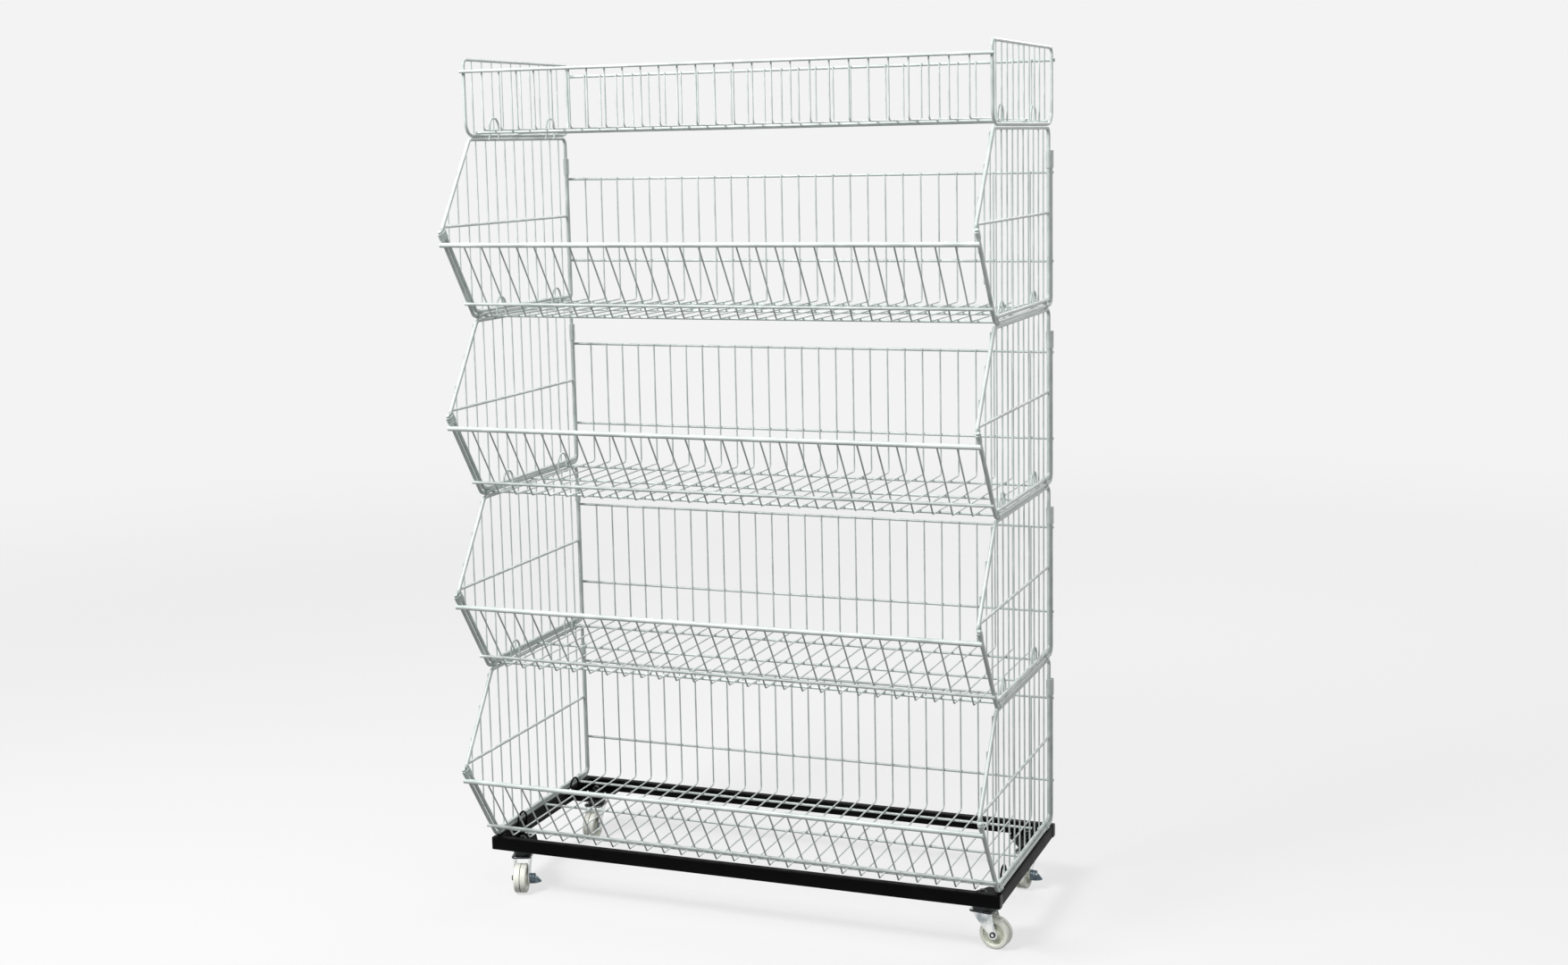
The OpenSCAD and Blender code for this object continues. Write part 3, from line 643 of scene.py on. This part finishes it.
collar_profile = [(0.0042, 0.0163), (0.0085, 0.0163), (0.0094, 0.0170), (0.0095, 0.0180),
                  (0.0095, 0.0215), (0.0091, 0.0222), (0.0091, 0.0232), (0.0095, 0.0239),
                  (0.0095, 0.0258), (0.0088, 0.0268), (0.0078, 0.0271), (0.0042, 0.0271)]
collar = turned("collar", collar_profile, (0, 0, 0), 48)
collar.data.transform(along_axle)
bpy.ops.object.select_all(action="DESELECT")
bpy.ops.mesh.primitive_cube_add(size=1, location=(trail, 0.0190, 0.0262),
                                scale=(0.0165, 0.005, 0.0138))
beak = bpy.context.active_object
place_in_mesh(beak)
bpy.ops.object.mode_set(mode="EDIT")
select_only(beak, "faces", lambda face: face.normal.y > 0.9)
# the upper edges of the beak stand closer together than the lower ones
shape = bmesh.from_edit_mesh(beak.data)
for vertex in shape.verts:
    if vertex.co.z > axle_z:
        vertex.co.x = trail + (vertex.co.x - trail) * 0.75
bmesh.update_edit_mesh(beak.data)
# the beak narrows and drops in four steps to its blunt tip: how far each step reaches, what
# it leaves of the width and of the height over the sole, and how far it leans aside
sole = 0.0198
for reach, narrow, low, aside in ((0.0057, 0.95, 0.90, -0.0001), (0.005, 0.72, 0.66, -0.0006),
                                  (0.004, 0.55, 0.50, -0.0012), (0.0019, 0.42, 0.45, -0.0014)):
    bpy.ops.mesh.extrude_region_move(TRANSFORM_OT_translate={"value": (aside, reach, 0)})
    shape = bmesh.from_edit_mesh(beak.data)
    chosen = [v for v in shape.verts if v.select]
    middle = sum(v.co.x for v in chosen) / len(chosen)
    for vertex in chosen:
        vertex.co.x = middle + (vertex.co.x - middle) * narrow
        if vertex.co.z > sole + 0.0004:
            vertex.co.z = sole + (vertex.co.z - sole) * low
    bmesh.update_edit_mesh(beak.data)
bpy.ops.object.mode_set(mode="OBJECT")
add_bevel(beak, 0.0011, 3)
lever_blank = join_pieces([collar, beak], "lever_blank")
smooth(lever_blank, 40)
lever_blank.data.materials.append(lever_steel)
for corner in braked:
    lever = copy_of(lever_blank, "brake_lever_" + corner)
    placed(lever, corner)
    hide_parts("brake_" + corner)
    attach(lever, "brake_" + corner)
bpy.data.objects.remove(lever_blank)

# Baskets: drawn steel wire and rod, resistance welded and dipped in pale grey-white epoxy.
# Four have sloped fronts and the top one is flat. Their wires are as modelled, with a new finish.

# Dipped epoxy: smooth and fairly glossy, thicker and paler in stretches of 60 mm where it ran
# together. Its peel is drawn 4 mm wide, coarser than the real one.
wire_coat, surface, where = new_finish("pale_epoxy_coated_wire")
tide = add_node(wire_coat, "ShaderNodeTexNoise",
                {"Scale": 16.0, "Detail": 6.0, "Roughness": 0.65}, {"Vector": where})
shades = add_node(wire_coat, "ShaderNodeValToRGB",
                  {"stops": ((0.3, "#AAB4B1"), (0.7, "#D6DEDB"))}, {"Fac": tide.outputs["Fac"]})
gloss = add_node(wire_coat, "ShaderNodeMapRange", {"To Min": 0.22, "To Max": 0.42},
                 {"Value": tide.outputs["Fac"]})
peel = add_node(wire_coat, "ShaderNodeTexNoise", {"Scale": 260.0, "Detail": 2.0},
                {"Vector": where})
peel_bump = add_node(wire_coat, "ShaderNodeBump", {"Strength": 0.18, "Distance": 0.0003},
                     {"Height": peel.outputs["Fac"]})
set_node(wire_coat, surface, {"IOR": 1.52},
         {"Base Color": shades.outputs["Color"], "Roughness": gloss.outputs["Result"],
          "Normal": peel_bump.outputs["Normal"]})

basket_parts = ("front_grid", "floor_grid", "back_grid", "tray_ends", "side_left", "side_right",
                "knuckle_clips", "lock_sleeves")
finish_nodes([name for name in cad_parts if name.endswith(basket_parts)], wire_coat)

# Weld spots: where a wire crosses a rod the two are pressed together hot, and the coat fills
# the corner with a small flat bead. One bead is made and repeated along every crossing.
rod_z = {1: 1.11982, 2: 0.78533, 3: 0.45084, 4: 0.11635}
post_y, wire_span, wire_count = 0.192, 0.92, 27
wire_gap = wire_span / (wire_count - 1)
pair, rod_r, weld = 0.0085, 0.0035, 0.00015


def bead_row(centre, half, step, count, turn=(0, 0, 0)):
    """A row of flat beads: half holds each bead's half sizes, step is the way to the next one."""
    bpy.ops.object.select_all(action="DESELECT")
    bpy.ops.mesh.primitive_ico_sphere_add(subdivisions=2, radius=1, location=centre, rotation=turn)
    bead = bpy.context.active_object
    bead.scale = half
    place_in_mesh(bead)
    row = bead.modifiers.new("row", "ARRAY")
    row.count = count
    row.use_relative_offset = False
    row.use_constant_offset = True
    row.constant_offset_displace = step
    bpy.ops.object.modifier_apply(modifier=row.name)
    return bead


# the sloped front: its direction, and the way that faces out of it
foot, nose = Vector((-0.386, pair)), Vector((-0.496, 0.1675))
rise = (nose - foot).normalized()
out = Vector((-rise.y, rise.x))
tilt = math.atan2(rise.y, rise.x)


def front_spot(along, proud):
    """A point of the front, so far below the nose and so far in front of the panel rod."""
    return nose - rise * along + out * proud


upper_spot = front_spot(0.0259, pair + rod_r)
lower_z, lower_line = 0.025, front_spot(0, pair + rod_r - weld)
lower_y = lower_line.x + (lower_z - lower_line.y) * rise.x / rise.y
floor_bead, upright_bead = (0.0022, 0.0021, 0.0009), (0.0022, 0.0009, 0.0021)
# the rows across a basket, as depth from the rear post, height, half sizes and tilt
wire_rows = ((upper_spot.x, upper_spot.y, (0.0024, 0.0022, 0.0012), tilt),
             (lower_y, lower_z, (0.0023, 0.0022, 0.0011), tilt),
             (-0.355, 0.0009, floor_bead, 0), (-0.1985, 0.0009, floor_bead, 0),
             (-0.042, 0.0009, floor_bead, 0),
             (0.0120, 0.080, upright_bead, 0), (0.0120, 0.244, upright_bead, 0))
# the rows along a side panel, as height, half height of the bead and number of wires
panel_x, panel_tall, side_wire_x, side_first, side_gap = 0.4975, 0.3175, 0.0034, 0.021, 0.037
side_rows = ((pair, 0.0023, 10), (pair + panel_tall, 0.0023, 10), (0.1699, 0.0020, 13))
for tier, tray_z in rod_z.items():
    beads = []
    for y, z, half, lean in wire_rows:
        beads.append(bead_row((-wire_span / 2, y + post_y, z + tray_z), half, (wire_gap, 0, 0),
                              wire_count, (lean, 0, 0)))
    for side in (-1, 1):
        # the upright wires lie on the same side of both panels
        x = side * panel_x - side_wire_x
        for height, half_tall, count in side_rows:
            beads.append(bead_row((x, post_y - side_first, tray_z + height),
                                  (0.0009, 0.0021, half_tall), (0, -side_gap, 0), count))
    weld_spots = join_pieces(beads, "tier%d_weld_spots" % tier)
    smooth(weld_spots, 60)
    weld_spots.data.materials.append(wire_coat)
    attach(weld_spots, "tier_%d" % tier)

# the flat top basket has the same beads on its floor rods, its rails and its end frames
top_z, top_y = 1.45254, post_y - 0.3943
top_frame_x, top_wire_x, top_first, top_gap, top_count = 0.4985, 0.0029, 0.037, 0.34 / 9, 10
top_floor_z, top_rail_z, top_frame_tall = 0.0078, 0.116, 0.138
beads = []
for y, z, half in ((0.044, top_floor_z, floor_bead), (0.207, top_floor_z, floor_bead),
                   (0.370, top_floor_z, floor_bead), (-0.00285, top_rail_z, upright_bead),
                   (0.41685, top_rail_z, upright_bead)):
    beads.append(bead_row((-wire_span / 2, top_y + y, top_z + z), half, (wire_gap, 0, 0),
                          wire_count))
for side in (-1, 1):
    for z in (0.0, top_frame_tall):
        beads.append(bead_row((side * top_frame_x - top_wire_x, top_y + top_first, top_z + z),
                              (0.0009, 0.0021, 0.0022), (0, top_gap, 0), top_count))
top_spots = join_pieces(beads, "top_weld_spots")
smooth(top_spots, 60)
top_spots.data.materials.append(wire_coat)
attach(top_spots, "top_basket")

# Floor: a plain pale studio floor. What the camera and reflections see of it is brightened
# towards the backdrop, and it fades into the backdrop colour far from the shelf.


def seen_rays(owner):
    """1 for what is seen straight, in gloss or through glass, and 0 for all other light."""
    path = add_node(owner, "ShaderNodeLightPath")
    either = add_node(owner, "ShaderNodeMath", {"operation": "MAXIMUM"},
                      {0: path.outputs["Is Camera Ray"], 1: path.outputs["Is Glossy Ray"]})
    every = add_node(owner, "ShaderNodeMath", {"operation": "MAXIMUM"},
                     {0: either.outputs["Value"], 1: path.outputs["Is Transmission Ray"]})
    return every.outputs["Value"]


# Matt floor paint: dark enough to throw little light up at the shelf, and shown much paler.
floor_paint, surface, where = new_finish("pale_studio_floor")
set_node(floor_paint, surface, {"Base Color": hex_colour("#6A6A6A"), "Roughness": 0.9,
                                "Specular IOR Level": 0.0})
far = add_node(floor_paint, "ShaderNodeVectorMath", {"operation": "LENGTH"}, {0: where})
fade = add_node(floor_paint, "ShaderNodeMapRange",
                {"From Min": 1.2, "From Max": 6.0, "interpolation_type": "SMOOTHSTEP"},
                {"Value": far.outputs["Value"]})
clear = add_node(floor_paint, "ShaderNodeBsdfTransparent")
pale = add_node(floor_paint, "ShaderNodeBsdfDiffuse", {"Color": hex_colour("#7E7E7E")})
glow = add_node(floor_paint, "ShaderNodeEmission",
                {"Color": hex_colour("#FFFFFF"), "Strength": 0.66})
lifted = add_node(floor_paint, "ShaderNodeAddShader", {},
                  {0: pale.outputs["BSDF"], 1: glow.outputs["Emission"]})
shown = add_node(floor_paint, "ShaderNodeMixShader", {},
                 {0: seen_rays(floor_paint), 1: surface.outputs["BSDF"],
                  2: lifted.outputs["Shader"]})
blend = add_node(floor_paint, "ShaderNodeMixShader", {},
                 {0: fade.outputs["Result"], 1: shown.outputs["Shader"], 2: clear.outputs["BSDF"]})
set_node(floor_paint, floor_paint.node_tree.nodes["Material Output"], {},
         {"Surface": blend.outputs["Shader"]})
bpy.ops.object.select_all(action="DESELECT")
bpy.ops.mesh.primitive_circle_add(vertices=96, radius=8.2, fill_type="NGON", location=(0, 0, 0))
floor = bpy.context.active_object
floor.name = "studio_floor"
floor.data.materials.append(floor_paint)

# Light: an even pale room, a large soft lamp high at the front left, a weaker one at the
# right and one behind, so that every side is lit.
world = bpy.data.worlds.new("studio_room")
bpy.context.scene.world = world
world.use_nodes = True
room = set_node(world, world.node_tree.nodes["Background"],
                {"Color": hex_colour("#FFFFFF"), "Strength": 0.27})
backdrop = add_node(world, "ShaderNodeBackground",
                    {"Color": hex_colour("#F3F3F3"), "Strength": 1.0})
mix = add_node(world, "ShaderNodeMixShader", {},
               {0: seen_rays(world), 1: room.outputs["Background"],
                2: backdrop.outputs["Background"]})
set_node(world, world.node_tree.nodes["World Output"], {}, {"Surface": mix.outputs["Shader"]})

lamp_aim = Vector((0, 0, 0.8))
for name, place, watts, size in (("key_lamp", (-1.5, -2.5, 4.0), 240, 1.5),
                                 ("fill_lamp", (3.0, -1.6, 2.6), 32, 1.8),
                                 ("back_lamp", (0.6, 3.2, 3.0), 50, 2.0)):
    lamp = bpy.data.lights.new(name, "AREA")
    lamp.energy = watts
    lamp.size = size
    holder = bpy.data.objects.new(name, lamp)
    bpy.context.scene.collection.objects.link(holder)
    holder.location = place
    holder.rotation_mode = "QUATERNION"
    holder.rotation_quaternion = (lamp_aim - Vector(place)).to_track_quat("-Z", "Y")

# Camera: at the photograph's viewing angle, a little to the right of the shelf and above its
# middle, looking slightly down and leaning by just over one degree.
turn, down, lean = math.radians(21.328), math.radians(8.549), math.radians(-1.191)
ahead = Vector((-math.sin(turn) * math.cos(down), math.cos(turn) * math.cos(down),
                -math.sin(down)))
level = Vector((math.cos(turn), math.sin(turn), 0))
plumb = level.cross(ahead)
right = level * math.cos(lean) + plumb * math.sin(lean)
up = plumb * math.cos(lean) - level * math.sin(lean)
# the photograph's size, focal length and optical centre in its own pixels
photo_wide, photo_tall, focal, centre_x, centre_y = 1755, 1080, 2275.9, 870.5, 502.7
view_data = bpy.data.cameras.new("camera")
view_data.sensor_width = 36
view_data.lens = view_data.sensor_width * focal / photo_wide
view_data.shift_x = (photo_wide / 2 - centre_x) / photo_wide
view_data.shift_y = (centre_y - photo_tall / 2) / photo_wide
view_data.clip_end = 100
camera = bpy.data.objects.new("camera", view_data)
bpy.context.scene.collection.objects.link(camera)
camera.matrix_world = Matrix((
    (right.x, up.x, -ahead.x, 1.3997), (right.y, up.y, -ahead.y, -3.5220),
    (right.z, up.z, -ahead.z, 1.4271), (0, 0, 0, 1)))
bpy.context.scene.camera = camera
bpy.context.scene.view_settings.view_transform = "Standard"
